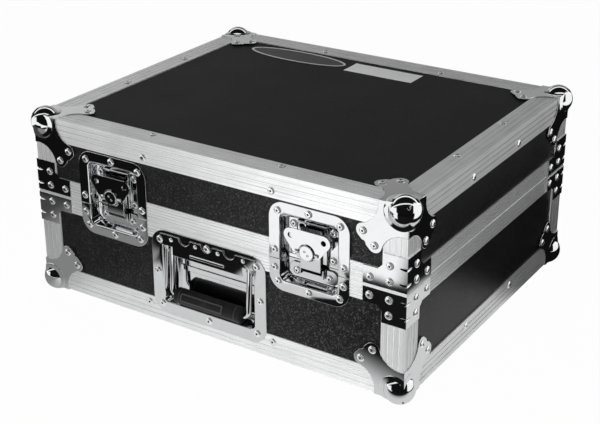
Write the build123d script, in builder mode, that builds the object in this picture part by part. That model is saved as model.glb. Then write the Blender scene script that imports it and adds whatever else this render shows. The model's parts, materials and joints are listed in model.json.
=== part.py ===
from build123d import *
import os
from math import atan2, degrees, hypot, sqrt

# Turntable case: laminated panels in ribbed aluminium edging, a hinged lid,
# two recessed butterfly latches, a recessed spring handle and eight ball corners.
# The front is at -Y. Heights of the fittings are counted from the case's
# underside, and the whole case stands on its ball corners at Z = 0.

# Case over the outer faces of its edging
case_width = 530.0
case_depth = 436.0
case_height = 236.0
seam_height = 133.0

# Stock
metal = 1.5
panel = 9.0
plate = 1.2
brace_plate = 1.5
fit = 0.3
running_clearance = 0.05

# Edge angles and corner uprights
angle_leg = 30.0
groove_pitch = 7.0
groove_width = 1.0
groove_depth = 0.4
groove_count = 3

# Rim extrusions at the seam
base_rim_height = 21.0
lid_rim_height = 23.4
rim_groove_pitch = 3.8
rim_groove_width = 0.8
rim_land = 5.0
rim_bridge = 6.0
rim_depth = 12.0
rim_skirt = 18.0
tongue_width = 2.0
tongue_rise = 4.0
tongue_gap = 1.5
bead_height = 2.0
bead_proud = 0.8
wedge_margin = 1.0

# Ball corners
ball_radius = 18.5
ball_inset = 9.5
lobe_radius = 9.0
lobe_near = 39.5
lobe_far = 54.0
waist_far = 63.0
waist_near = 5.0
notch_radius = 4.0
notch_depth = 1.6

# Corner braces at the seam
brace_reach = 53.0
brace_width = 29.0
brace_gap = 2.0
brace_rise = 20.0
gusset = 6.0
brace_rivet_near = 20.0
brace_rivet_far = 44.5
brace_rivet_low = 11.2
brace_rivet_high = 30.0
dart_reach = 9.5
dart_radius = 2.6
dart_depth = 1.1

# Blind rivets
rivet_radius = 4.75
rivet_crown = 1.9
rivet_rise = 1.7
rivet_rim = 0.5
rivet_shank = 2.4
rivet_bore = 1.5
rivet_recess = 1.0
edge_rivet_inset = 21.5
rivet_bulge = 0.3
edge_rivet_gap = 8.25
edge_rivet_y = 62.5
corner_rivet_draw = 0.45

# Latches
latch_side_gap = 70.0
latch_dish_size = (106.0, 111.0)
latch_dish_height = 149.2
latch_dish_radius = 20.0
latch_mouth = (76.0, 84.0)
latch_mouth_radius = 7.0
latch_depth = 11.0
latch_draft = 4.0
hub_height = 152.0
hub_radius = 9.5
hub_proud = 6.5
hub_disc = 8.5
hub_neck = 5.0
hub_collar = 7.5
hub_collar_thick = 2.0
hub_dimple = 2.2
hub_dimple_offset = 4.0
hub_dimple_depth = 0.5
hub_chamfer = 0.6
wing_thick = 2.0
wing_proud = 5.0
wing_lobe_x = 21.75
wing_lobe_z = 17.5
wing_lobe_radius = 8.5
wing_hole = 3.4
wing_root = 15.0
wing_gap = 1.7
wing_cut = 3.2
trunnion_radius = 1.5
trunnion_boss = 2.6
hook_width = 27.0
hook_thick = 3.0
hook_top = 10.0
hook_end = 128.0
hook_nose = 6.0
hook_travel = 8.0
bracket_half = 20.0
bracket_foot = 32.0
bracket_low = 138.0
bracket_high = 184.0
bracket_rivet = 26.0
bracket_foot_rivets = (143.0, 177.0)
bracket_slot = (32.0, 8.0)
bracket_slot_radius = 2.0
bracket_slot_height = 177.0
keeper_size = (63.0, 18.0)
keeper_low = 112.0
keeper_radius = 7.0
keeper_thick = 2.0
keeper_cheek = 2.0
keeper_cheek_rise = 4.0
keeper_rivet = 21.5
keeper_rivet_height = 120.0

# Handle
handle_dish_gap = 5.25
handle_dish_tall = 113.7
handle_dish_height = 70.0
handle_dish_radius = 21.0
handle_flange = 16.75
handle_mouth_tall = 80.0
handle_mouth_radius = 5.0
handle_depth = 18.0
handle_draft = 7.0
bail_radius = 3.5
bail_side_gap = 10.5
bail_bend = 7.0
bail_pin = 2.5
bail_pin_clear = 1.0
pivot_height = 101.0
pivot_depth = 6.0
grip_height = 42.5
grip_depth = 1.5
grip_radius = 10.0
grip_end_gap = 7.5
grip_round = 2.0
ear_thick = 1.5
ear_radius = 4.5
handle_bracket_inset = 13.75
handle_bracket_top = 122.0
handle_bracket_low = 108.0
strap_rivet_height = 117.0
strap_rivet_steps = (-1.6, -0.5, 0.5, 1.6)
strap_rivet_radius = 2.8
strap_rivet_rise = 1.5
strap_rivet_shank = 1.5
scallop_radius = 8.0
scallop_inset = 2.0
skirt_low = 96.5
skirt_gap = 1.5
lip_half = 25.0
lip_low = 101.0
lip_high = 104.0
lip_proud = 1.0
pan_rib_low = 70.0
pan_rib_high = 77.0
pan_rib_rise = 1.5
pan_rib_gap = 5.0
pan_rib_round = 1.0

# Hinges
hinge_offset = 150.0
hinge_width = 64.0
hinge_leaf = 27.0
hinge_thick = 1.5
knuckle_radius = 3.6
knuckle_gap = 0.4
knuckle_count = 5
knuckle_slack = 0.3
hinge_pin_radius = 1.9
hinge_rivet_x = 22.0
hinge_rivet_low = 11.0
hinge_rivet_high = 20.0

# Foam
foam_floor = 10.0
foam_lid = 15.0
foam_lid_wall = 20.0
bay_side_wall = 23.7
bay_end_wall = 26.7

half_width = case_width / 2
half_depth = case_depth / 2
stand = ball_radius - ball_inset
seam = stand + seam_height
roof = stand + case_height
pin_out = knuckle_radius + knuckle_gap
latch_offset = half_width - latch_side_gap - latch_dish_size[0] / 2
handle_dish_size = (2 * (latch_offset - latch_dish_size[0] / 2 - handle_dish_gap), handle_dish_tall)
handle_mouth = (handle_dish_size[0] - 2 * handle_flange, handle_mouth_tall)
handle_bracket_half = handle_dish_size[0] / 2 - handle_bracket_inset
scallop_pitch = handle_bracket_half / 2 - scallop_inset
bail_half = handle_mouth[0] / 2 - bail_side_gap
grip_half = bail_half - grip_end_gap
skirt_half = bail_half - bail_radius - skirt_gap
edge_rivet_x = handle_dish_size[0] / 2 + edge_rivet_gap
SIDES = ("front", "back", "left", "right")

os.makedirs("parts", exist_ok=True)


def save(built, name):
    built.part.label = name
    export_step(built.part, f"parts/{name}.step")


def face(side, proud=0.0):
    """Plane on an outer face: x to the right as seen from outside, y up from the underside, z out."""
    outward = {"front": (0, -1, 0), "back": (0, 1, 0), "right": (1, 0, 0), "left": (-1, 0, 0)}[side]
    reach = half_width if side in ("left", "right") else half_depth
    origin = Vector(*outward) * (reach + proud) + Vector(0, 0, stand)
    return Plane(origin=origin, x_dir=Vector(0, 0, 1).cross(Vector(*outward)), z_dir=outward)


def half_span(side):
    return half_depth if side in ("left", "right") else half_width


def round_box(centre, size, radius):
    """A rectangle with rounded corners in the current sketch."""
    with Locations(centre):
        RectangleRounded(*size, radius)


def strip(x_low, y_low, x_high, y_high, mode=Mode.ADD):
    """A plain rectangle in the current sketch, given by two opposite corners."""
    with Locations(((x_low + x_high) / 2, (y_low + y_high) / 2)):
        Rectangle(abs(x_high - x_low), abs(y_high - y_low), mode=mode)


def punch(plane, spots, radius, depth):
    """Round holes through the stock behind a plane, with the running clearance round what fills them."""
    with BuildSketch(plane) as holes:
        with Locations(*spots):
            Circle(radius + running_clearance)
    extrude(holes.sketch, amount=-depth, mode=Mode.SUBTRACT)


def mitre(side, low, high):
    """Keep only what lies inside one side's wedge of the plan, so that the lengths meet at 45 degrees."""
    deep = half_width if side in ("left", "right") else half_depth
    inward = face(side).z_dir * -1
    along = face(side).x_dir
    corner = half_span(side) + bead_proud
    start = face(side, bead_proud).origin
    corners = [start - along * corner, start + along * corner]
    tip = min(corner, deep) - bead_proud - wedge_margin
    corners += [corners[1] + (inward - along) * tip, corners[0] + (inward + along) * tip]
    with BuildSketch(Plane.XY.offset(low)) as wedge:
        Polygon(*[(p.X, p.Y) for p in corners], align=None)
    extrude(wedge.sketch, amount=high - low, mode=Mode.INTERSECT)


# Where rivets sit. Each list holds places on one face: (along, up).

def edge_rivet_spots(side, height):
    reach = edge_rivet_x if side in ("front", "back") else edge_rivet_y
    return [(-reach, height), (reach, height)]


low_edge_rivets = edge_rivet_inset
high_edge_rivets = case_height - edge_rivet_inset
plan_rivets = [(s * edge_rivet_x, t * (half_depth - edge_rivet_inset)) for s in (-1, 1) for t in (-1, 1)]
plan_rivets += [(s * (half_width - edge_rivet_inset), t * edge_rivet_y) for s in (-1, 1) for t in (-1, 1)]


def corner_rivet_spots(side, lid):
    spots = []
    for near, far in ((lobe_near, lobe_far), (lobe_far, lobe_near)):
        height = case_height - far if lid else far
        spots += [(s * (half_span(side) - near), height) for s in (-1, 1)]
    return spots


def brace_rivet_spots(side, lid):
    turn = 1 if lid else -1
    spots = []
    for along, up in ((brace_rivet_near, brace_rivet_low), (brace_rivet_far, brace_rivet_low),
                      (brace_rivet_near, brace_rivet_high)):
        spots += [(s * (half_span(side) - along), seam_height + turn * up) for s in (-1, 1)]
    return spots


def dish_rivet_spots(centre, size, mouth, radius):
    """Two in the middle of the long flanges, one by each corner."""
    x, y = centre
    side_x = (size[0] + mouth[0]) / 4
    side_y = (size[1] + mouth[1]) / 4
    diagonal = radius * corner_rivet_draw
    spots = [(x, y - side_y), (x, y + side_y)]
    for s in (-1, 1):
        for t in (-1, 1):
            spots.append((x + s * (side_x - diagonal / 2), y + t * (side_y - diagonal / 2)))
    return spots


def latch_rivet_spots(x, lid):
    turn = 1 if lid else -1
    spots = [s for s in dish_rivet_spots((x, latch_dish_height), latch_dish_size, latch_mouth,
                                         latch_dish_radius) if (s[1] > seam_height) == lid]
    side_x = (latch_dish_size[0] + latch_mouth[0]) / 4
    return spots + [(x + s * side_x, seam_height + turn * brace_rivet_low) for s in (-1, 1)]


handle_rivets = dish_rivet_spots((0, handle_dish_height), handle_dish_size, handle_mouth,
                                 handle_dish_radius)
handle_side_x = (handle_dish_size[0] + handle_mouth[0]) / 4
handle_rivets += [(s * handle_side_x, handle_dish_height) for s in (-1, 1)]


def hinge_rivet_spots(lid):
    turn = 1 if lid else -1
    spots = []
    for x in (-hinge_offset, hinge_offset):
        spots += [(x + s * hinge_rivet_x, seam_height + turn * hinge_rivet_low) for s in (-1, 1)]
        spots.append((x, seam_height + turn * hinge_rivet_high))
    return spots


# Laminated panels. The top and floor run under the edging, the front and back
# run full width between them, and the sides fit between the front and back.

def wall_panel(side, low, high, mouths=()):
    inset = metal + panel if side in ("left", "right") else metal
    reach = half_span(side) - inset
    with BuildPart() as wall:
        with BuildSketch(face(side, -metal)):
            strip(-reach, low, reach, high)
        extrude(amount=-panel)
        for centre, size, radius in mouths:
            with BuildSketch(face(side, -metal)):
                round_box(centre, (size[0] + 2 * (plate + fit), size[1] + 2 * (plate + fit)), radius)
            extrude(amount=-panel, mode=Mode.SUBTRACT)
    return wall


def flat_panel(low):
    with BuildPart() as sheet:
        with BuildSketch(Plane.XY.offset(low)):
            Rectangle(case_width - 2 * metal, case_depth - 2 * metal)
        extrude(amount=panel)
    return sheet


latch_mouths = [((x, latch_dish_height), latch_mouth, latch_mouth_radius)
                for x in (-latch_offset, latch_offset)]
handle_cut = [((0, handle_dish_height), handle_mouth, handle_mouth_radius)]
wall_low = metal + panel
wall_high = case_height - metal - panel

for side in SIDES:
    base_mouths = latch_mouths + handle_cut if side == "front" else ()
    lid_mouths = latch_mouths if side == "front" else ()
    save(wall_panel(side, wall_low, seam_height - rim_bridge, base_mouths), f"base_{side}_panel")
    save(wall_panel(side, seam_height + rim_bridge, wall_high, lid_mouths), f"lid_{side}_panel")
save(flat_panel(stand + metal), "base_floor_panel")
save(flat_panel(roof - metal - panel), "lid_top_panel")


# Edge angles: an L in section with ribbed outer faces, mitred at the corners.

def angle_profile():
    """The L, with its outer corner at the origin and its legs along x and y."""
    strip(0, 0, angle_leg, metal)
    strip(0, 0, metal, angle_leg)
    for n in range(1, groove_count + 1):
        at = n * groove_pitch
        strip(at - groove_width / 2, 0, at + groove_width / 2, groove_depth, Mode.SUBTRACT)
        strip(0, at - groove_width / 2, groove_depth, at + groove_width / 2, Mode.SUBTRACT)


def edge_angle(side, lid):
    level = roof if lid else stand
    inward = face(side).z_dir * -1
    upward = Vector(0, 0, -1 if lid else 1)
    origin = face(side).origin + Vector(0, 0, level - stand)
    with BuildPart() as angle:
        with BuildSketch(Plane(origin=origin, x_dir=inward, z_dir=inward.cross(upward))):
            angle_profile()
        extrude(amount=half_span(side), both=True)
        mitre(side, stand, roof)
        height = high_edge_rivets if lid else low_edge_rivets
        punch(face(side), edge_rivet_spots(side, height), rivet_shank, metal)
        edge_plane = Plane.XY.offset(roof if lid else stand + metal)
        punch(edge_plane, plan_rivets, rivet_shank, metal)
        if side == "front" and not lid:
            with BuildSketch(face(side)):
                round_box((0, handle_dish_height),
                          (handle_mouth[0] + 2 * (plate + fit), handle_mouth[1] + 2 * (plate + fit)),
                          handle_mouth_radius)
            extrude(amount=-metal, mode=Mode.SUBTRACT)
    return angle


for side in SIDES:
    save(edge_angle(side, False), f"base_edge_{side}")
    save(edge_angle(side, True), f"lid_edge_{side}")


# Corner uprights: the same L, standing between an edge angle and the rim.

def corner_uprights(low, high):
    with BuildPart() as uprights:
        for s in (-1, 1):
            for t in (-1, 1):
                along = Vector(-s, 0, 0)
                with BuildSketch(Plane(origin=(s * half_width, t * half_depth, stand + low),
                                       x_dir=along, z_dir=along.cross(Vector(0, -t, 0)))):
                    angle_profile()
                extrude(amount=(high - low) * s * t)
    return uprights


save(corner_uprights(angle_leg, seam_height - base_rim_height), "base_corner_uprights")
save(corner_uprights(seam_height + lid_rim_height, case_height - angle_leg), "lid_corner_uprights")


# Rim extrusions. The base carries a tongue and the lid a channel over it. They
# meet on the land just inside the outer face, with the seam's running gap between.

def rim_profile(lid):
    """Section with x inward from the outer face and y away from the seam."""
    height = lid_rim_height if lid else base_rim_height
    start = fit if lid else 0
    strip(0, start, metal, height)
    strip(0, start, rim_land, start + metal)
    strip(rim_land - metal, start, rim_land, rim_bridge)
    strip(0, rim_bridge - metal, rim_depth, rim_bridge)
    strip(rim_depth - metal, start if lid else rim_bridge - metal, rim_depth, rim_skirt)
    strip(-bead_proud, start, metal, bead_height)
    for n in range(1, int((height - bead_height) / rim_groove_pitch) + 1):
        at = bead_height + n * rim_groove_pitch
        if at < height - rim_groove_width:
            strip(0, at - rim_groove_width / 2, groove_depth, at + rim_groove_width / 2, Mode.SUBTRACT)
    if not lid:
        tongue = rim_land + tongue_gap
        strip(tongue, -tongue_rise, tongue + tongue_width, rim_bridge)


def rim(side, lid):
    inward = face(side).z_dir * -1
    away = Vector(0, 0, 1 if lid else -1)
    with BuildPart() as length:
        with BuildSketch(Plane(origin=face(side).origin + Vector(0, 0, seam_height), x_dir=inward,
                               z_dir=inward.cross(away))):
            rim_profile(lid)
        extrude(amount=half_span(side) + bead_proud, both=True)
        mitre(side, stand, roof)
        if side == "front":
            for x in (-latch_offset, latch_offset):
                with BuildSketch(face("front", -rim_depth)):
                    round_box((x, latch_dish_height),
                              (latch_mouth[0] + 2 * (plate + fit), latch_mouth[1] + 2 * (plate + fit)),
                              latch_mouth_radius)
                extrude(amount=rim_depth + bead_proud, mode=Mode.SUBTRACT)
                with BuildSketch(face("front")):
                    round_box((x, latch_dish_height),
                              (latch_dish_size[0] + 2 * fit, latch_dish_size[1] + 2 * fit),
                              latch_dish_radius)
                extrude(amount=bead_proud, mode=Mode.SUBTRACT)
        if side == "back":
            for x in (-hinge_offset, hinge_offset):
                with BuildSketch(face("back")):
                    strip(x - hinge_width / 2 - fit, 0, x + hinge_width / 2 + fit, case_height)
                extrude(amount=bead_proud, mode=Mode.SUBTRACT)
    return length


for side in SIDES:
    save(rim(side, False), f"base_rim_{side}")
    save(rim(side, True), f"lid_rim_{side}")


# Ball corners: a hollow steel ball over the corner, with a lobed leg on each face.

def leg_outline():
    """Leg on one face, with x and y the distances from the two edges that meet at the corner."""
    reach = hypot(waist_far - lobe_far, waist_near - lobe_near) - lobe_radius
    foot = waist_far - (reach ** 2 - waist_near ** 2) ** 0.5
    outer = lobe_radius / 2 ** 0.5
    with BuildLine() as web:
        Polyline((-plate, -plate), (foot, -plate), (foot, 0), (waist_far, waist_near),
                 (lobe_far, lobe_near), (lobe_far + outer, lobe_near + outer),
                 (lobe_near + outer, lobe_far + outer), (lobe_near, lobe_far),
                 (waist_near, waist_far), (0, foot), (-plate, foot), close=True)
    make_face(web.edges())
    with Locations((waist_far, waist_near), (waist_near, waist_far)):
        Circle(reach, mode=Mode.SUBTRACT)
    with Locations((lobe_far, lobe_near), (lobe_near, lobe_far)):
        Circle(lobe_radius)
    notch = (lobe_near + lobe_far) / 2 + outer + (notch_radius - notch_depth) / 2 ** 0.5
    with Locations((notch, notch)):
        Circle(notch_radius, mode=Mode.SUBTRACT)
    with Locations((lobe_far, lobe_near), (lobe_near, lobe_far)):
        Circle(rivet_shank + running_clearance, mode=Mode.SUBTRACT)


with BuildPart() as base_ball_corners:
    corner = (half_width, -half_depth, stand)
    for across, up in (((0, 0, 1), (-1, 0, 0)), ((0, 1, 0), (0, 0, 1)), ((-1, 0, 0), (0, 1, 0))):
        with BuildSketch(Plane(origin=corner, x_dir=across, z_dir=Vector(*across).cross(Vector(*up)))):
            leg_outline()
        extrude(amount=plate)
    with Locations((half_width - ball_inset, -half_depth + ball_inset, stand + ball_inset)):
        Sphere(ball_radius)
        Sphere(ball_radius - plate, mode=Mode.SUBTRACT)
    with Locations((0, 0, stand + case_height / 2)):
        Box(case_width, case_depth, case_height, mode=Mode.SUBTRACT)
    mirror(about=Plane.YZ)
    mirror(about=Plane.XZ)
save(base_ball_corners, "base_ball_corners")

with BuildPart() as lid_ball_corners:
    mirror(base_ball_corners.part, about=Plane.XY.offset(stand + case_height / 2))
save(lid_ball_corners, "lid_ball_corners")


# Corner braces: L-shaped plates bent round each upright, level with the rims. Darts
# pressed across the bend stiffen it, level with the rivets.

def corner_braces(lid):
    turn = 1 if lid else -1
    arm = (lid_rim_height if lid else base_rim_height)
    with BuildPart() as braces:
        for side, s in (("front", 1), ("right", -1)):
            edge = s * (half_span(side) + brace_plate)
            reach = s * (half_span(side) - brace_reach)
            post = s * (half_span(side) - brace_width)
            level = seam_height + turn * brace_gap
            shelf = seam_height + turn * arm
            with BuildSketch(face(side)):
                with BuildLine():
                    Polyline((edge, level), (reach, level), (reach, shelf),
                             (post - s * gusset, shelf), (post, shelf + turn * gusset),
                             (post, shelf + turn * brace_rise), (edge, shelf + turn * brace_rise), close=True)
                make_face()
            extrude(amount=brace_plate)
            spots = [p for p in brace_rivet_spots(side, lid) if p[0] * s > 0]
            punch(face(side, brace_plate), spots, rivet_shank, brace_plate)
        corner_x = half_width + brace_plate
        corner_y = -half_depth - brace_plate
        grooves = (((corner_x - dart_reach, corner_y - dart_radius), (dart_reach, dart_depth)),
                   ((corner_x + dart_radius, corner_y + dart_reach), (-dart_depth, -dart_reach)))
        for up in (brace_rivet_low, brace_rivet_high):
            for start, heading in grooves:
                with BuildSketch(Plane(origin=(*start, seam + turn * up), z_dir=(*heading, 0))):
                    Circle(dart_radius)
                extrude(amount=2 * dart_reach, mode=Mode.SUBTRACT)
        mirror(about=Plane.YZ)
        mirror(about=Plane.XZ)
    return braces


save(corner_braces(False), "base_corner_braces")
save(corner_braces(True), "lid_corner_braces")


# Pressed dishes: a flat flange with a turned-down edge and a tapered pan.

def dish_shell(centre, size, radius, mouth, mouth_radius, depth, draft, spots, edge_bands):
    inner = (size[0] - 2 * plate, size[1] - 2 * plate)
    floor = (mouth[0] - 2 * draft, mouth[1] - 2 * draft)
    grown = (mouth[0] + 2 * plate, mouth[1] + 2 * plate)
    grown_floor = (floor[0] + 2 * plate, floor[1] + 2 * plate)
    with BuildSketch(face("front")) as flange:
        round_box(centre, size, radius)
    extrude(flange.sketch, amount=plate)
    for low, high in edge_bands:
        with BuildSketch(face("front")) as edge:
            round_box(centre, size, radius)
            with Locations(centre):
                RectangleRounded(*inner, radius - plate, mode=Mode.SUBTRACT)
            with Locations((centre[0], (low + high) / 2)):
                Rectangle(size[0] + 2 * plate, high - low, mode=Mode.INTERSECT)
        extrude(edge.sketch, amount=-metal)
    with BuildSketch(face("front")) as outer_mouth:
        round_box(centre, grown, mouth_radius + plate)
    with BuildSketch(face("front", -depth - plate)) as outer_floor:
        round_box(centre, grown_floor, mouth_radius + plate)
    loft([outer_mouth.sketch, outer_floor.sketch], ruled=True)
    with BuildSketch(face("front", plate)) as inner_mouth:
        round_box(centre, mouth, mouth_radius)
    with BuildSketch(face("front", -depth)) as inner_floor:
        round_box(centre, floor, mouth_radius)
    loft([inner_mouth.sketch, inner_floor.sketch], ruled=True, mode=Mode.SUBTRACT)
    punch(face("front", plate), spots, rivet_shank, plate)


def latch_dish(x, lid):
    dish_top = latch_dish_height + latch_dish_size[1] / 2
    dish_low = latch_dish_height - latch_dish_size[1] / 2
    if lid:
        band = (seam_height + lid_rim_height + fit, dish_top)
    else:
        band = (dish_low, seam_height - base_rim_height - fit)
    with BuildPart() as dish:
        dish_shell((x, latch_dish_height), latch_dish_size, latch_dish_radius, latch_mouth,
                   latch_mouth_radius, latch_depth, latch_draft, latch_rivet_spots(x, lid), [band])
        level = seam + fit if lid else seam
        split(bisect_by=Plane.XY.offset(level), keep=Keep.TOP if lid else Keep.BOTTOM)
        feet = latch_foot_spots(x, lid)
        punch(face("front", -latch_depth), feet, rivet_shank, plate)
    return dish


def latch_foot_spots(x, lid):
    """Rivets that hold the bracket or the keeper to the pan."""
    if lid:
        return [(x + s * bracket_rivet, z) for s in (-1, 1)
                for z in bracket_foot_rivets]
    return [(x + s * keeper_rivet, keeper_rivet_height) for s in (-1, 1)]


# Latch parts, from the pan outwards: bracket on the pan, hook sliding on the
# bracket, hub turning through both, wing hinged on the hub's trunnions.

hub_back = hub_disc - hub_proud
hook_front = hub_back + fit
hook_back = hook_front + hook_thick
bracket_front = hook_back + fit
bracket_back = bracket_front + plate
collar_front = bracket_back + fit


def latch_bracket(x):
    foot_front = latch_depth - plate
    centre = (x, (bracket_low + bracket_high) / 2)
    height = bracket_high - bracket_low
    with BuildPart() as bracket:
        with BuildSketch(face("front", -bracket_front)):
            with Locations(centre):
                Rectangle(2 * bracket_half, height)
        extrude(amount=-plate)
        for s in (-1, 1):
            with BuildSketch(face("front", -bracket_front)):
                strip(x + s * bracket_half, bracket_low, x + s * (bracket_half - plate), bracket_high)
            extrude(amount=-(latch_depth - bracket_front))
            with BuildSketch(face("front", -foot_front)):
                strip(x + s * (bracket_half - plate), bracket_low, x + s * bracket_foot, bracket_high)
            extrude(amount=-plate)
        with BuildSketch(face("front", -bracket_front)):
            with Locations((x, hub_height)):
                Circle(hub_neck + running_clearance)
            with Locations((x, bracket_slot_height)):
                RectangleRounded(*bracket_slot, bracket_slot_radius)
        extrude(amount=-plate, mode=Mode.SUBTRACT)
        punch(face("front", -foot_front), latch_foot_spots(x, True), rivet_shank, plate)
    return bracket


def latch_hook(x):
    slot = hub_neck + fit
    nose_back = latch_depth - keeper_thick - fit
    with BuildPart() as hook:
        with BuildSketch(face("front", -hook_front)):
            strip(x - hook_width / 2, hook_end, x + hook_width / 2, hub_height + hook_top)
        extrude(amount=-hook_thick)
        side = Plane(origin=face("front").origin + Vector(x, 0, 0), x_dir=(0, 1, 0), z_dir=(1, 0, 0))
        with BuildSketch(side):
            with BuildLine():
                Polyline((hook_front, hook_end), (hook_back, hook_end), (nose_back, hook_end - hook_nose / 2),
                         (nose_back, hook_end - hook_nose), (nose_back - hook_thick, hook_end - hook_nose),
                         close=True)
            make_face()
        extrude(amount=hook_width / 2, both=True)
        with BuildSketch(face("front", -hook_front)):
            strip(x - slot, hub_height - hook_travel, x + slot, hub_height)
            with Locations((x, hub_height), (x, hub_height - hook_travel)):
                Circle(slot)
        extrude(amount=-hook_thick, mode=Mode.SUBTRACT)
    return hook


def latch_hub(x):
    with BuildPart() as hub:
        for front, back, radius in ((-hub_proud, hub_back, hub_radius), (hub_back, collar_front, hub_neck),
                                    (collar_front, collar_front + hub_collar_thick, hub_collar)):
            with BuildSketch(face("front", -front)):
                with Locations((x, hub_height)):
                    Circle(radius)
            extrude(amount=front - back)
        across = Plane(origin=face("front").origin + Vector(x, -(wing_proud - wing_thick / 2), hub_height),
                       x_dir=(0, 1, 0), z_dir=(1, 0, 0))
        with BuildSketch(across):
            Circle(trunnion_radius)
        extrude(amount=wing_root, both=True)
        shift = hub_dimple_offset / 2
        punch(face("front", hub_proud), [(x + s, hub_height - s) for s in (-shift, shift)],
              hub_dimple / 2, hub_dimple_depth)
        chamfer(hub.faces().sort_by(Axis.Y)[0].outer_wire().edges(), hub_chamfer)
    return hub


def latch_wing(x):
    clear = hub_radius + wing_gap
    across = Plane(origin=face("front").origin + Vector(x, -(wing_proud - wing_thick / 2), hub_height),
                   x_dir=(0, 1, 0), z_dir=(1, 0, 0))
    lobes = [(x + s * wing_lobe_x, hub_height + wing_lobe_z) for s in (-1, 1)]
    with BuildPart() as wing:
        with BuildSketch(face("front", wing_proud)):
            with Locations(*lobes):
                Circle(wing_lobe_radius)
            with Locations((x, hub_height)):
                Circle(wing_root)
            make_hull()
            with Locations((x, hub_height)):
                Circle(clear, mode=Mode.SUBTRACT)
            with Locations(*lobes):
                Circle(wing_hole, mode=Mode.SUBTRACT)
            strip(x - wing_root, hub_height - 2 * wing_root, x + wing_root, hub_height - wing_cut,
                  Mode.SUBTRACT)
        extrude(amount=-wing_thick)
        for s in (-1, 1):
            with BuildSketch(across.offset(s * clear)):
                Circle(trunnion_boss)
            extrude(amount=s * (wing_root - clear))
        with BuildSketch(across):
            Circle(trunnion_radius + running_clearance)
        extrude(amount=wing_root, both=True, mode=Mode.SUBTRACT)
    return wing


def latch_keeper(x):
    top = keeper_low + keeper_size[1]
    cheek = hook_width / 2 + fit * 2
    with BuildPart() as keeper:
        with BuildSketch(face("front", keeper_thick - latch_depth)):
            round_box((x, keeper_low + keeper_size[1] / 2), keeper_size, keeper_radius)
        extrude(amount=-keeper_thick)
        for s in (-1, 1):
            with BuildSketch(face("front", keeper_thick - latch_depth)):
                strip(x + s * cheek, keeper_low + keeper_radius, x + s * (cheek + keeper_cheek), top)
            extrude(amount=keeper_cheek_rise)
        punch(face("front", keeper_thick - latch_depth), latch_foot_spots(x, False), rivet_shank,
              keeper_thick)
    return keeper


for name, x in (("left", -latch_offset), ("right", latch_offset)):
    save(latch_dish(x, True), f"latch_{name}_upper_dish")
    save(latch_dish(x, False), f"latch_{name}_lower_dish")
    save(latch_bracket(x), f"latch_{name}_bracket")
    save(latch_hook(x), f"latch_{name}_hook")
    save(latch_hub(x), f"latch_{name}_hub")
    save(latch_wing(x), f"latch_{name}_wing")
    save(latch_keeper(x), f"latch_{name}_keeper")


# Handle: dish, bracket with two ears, bail hung in the ears, rubber grip on the bail.

handle_low = handle_dish_height - handle_dish_size[1] / 2
scallops = [(n * scallop_pitch, handle_bracket_top) for n in (-1, 0, 1)]
strap_rivets = [(n * scallop_pitch, strap_rivet_height) for n in strap_rivet_steps]

with BuildPart() as handle_dish:
    dish_shell((0, handle_dish_height), handle_dish_size, handle_dish_radius, handle_mouth,
               handle_mouth_radius, handle_depth, handle_draft, handle_rivets,
               [(angle_leg + fit, seam_height - base_rim_height - fit)])
    punch(face("front", plate), strap_rivets, strap_rivet_shank, plate)
    rib_half = handle_mouth[0] / 2 - handle_draft - pan_rib_gap
    with BuildSketch(face("front", -handle_depth)) as rib:
        round_box((0, (pan_rib_low + pan_rib_high) / 2), (2 * rib_half, pan_rib_high - pan_rib_low),
                  pan_rib_round)
    extrude(rib.sketch, amount=pan_rib_rise)
save(handle_dish, "handle_dish")

# The bracket laps over the top flange. Its skirt hides the pivot, and its ears turn into
# the pan and carry the bail.
ear_out = bail_half + bail_radius + fit + ear_thick
across = Plane(origin=face("front").origin + Vector(0, pivot_depth, pivot_height), x_dir=(0, 1, 0),
               z_dir=(1, 0, 0))
with BuildPart() as handle_bracket:
    with BuildSketch(face("front", plate)):
        strip(-handle_bracket_half, handle_bracket_low, handle_bracket_half, handle_bracket_top)
        strip(-skirt_half, skirt_low, skirt_half, handle_bracket_low)
        with Locations(*scallops):
            Circle(scallop_radius, mode=Mode.SUBTRACT)
        with Locations(*[p for p in handle_rivets if p[1] > handle_bracket_low]):
            Circle(rivet_radius + fit, mode=Mode.SUBTRACT)
    extrude(amount=plate)
    for s in (-1, 1):
        with BuildSketch(across.offset(s * ear_out)):
            Circle(ear_radius)
            strip(-pivot_depth - 2 * plate, handle_bracket_low - pivot_height, -pivot_depth - plate,
                  handle_bracket_low + plate - pivot_height)
            make_hull()
            Circle(bail_pin + running_clearance, mode=Mode.SUBTRACT)
        extrude(amount=-s * ear_thick)
    with BuildSketch(face("front", 2 * plate)):
        strip(-lip_half, lip_low, lip_half, lip_high)
    extrude(amount=lip_proud)
    punch(face("front", 2 * plate), strap_rivets, strap_rivet_shank, plate)
save(handle_bracket, "handle_bracket")

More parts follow.
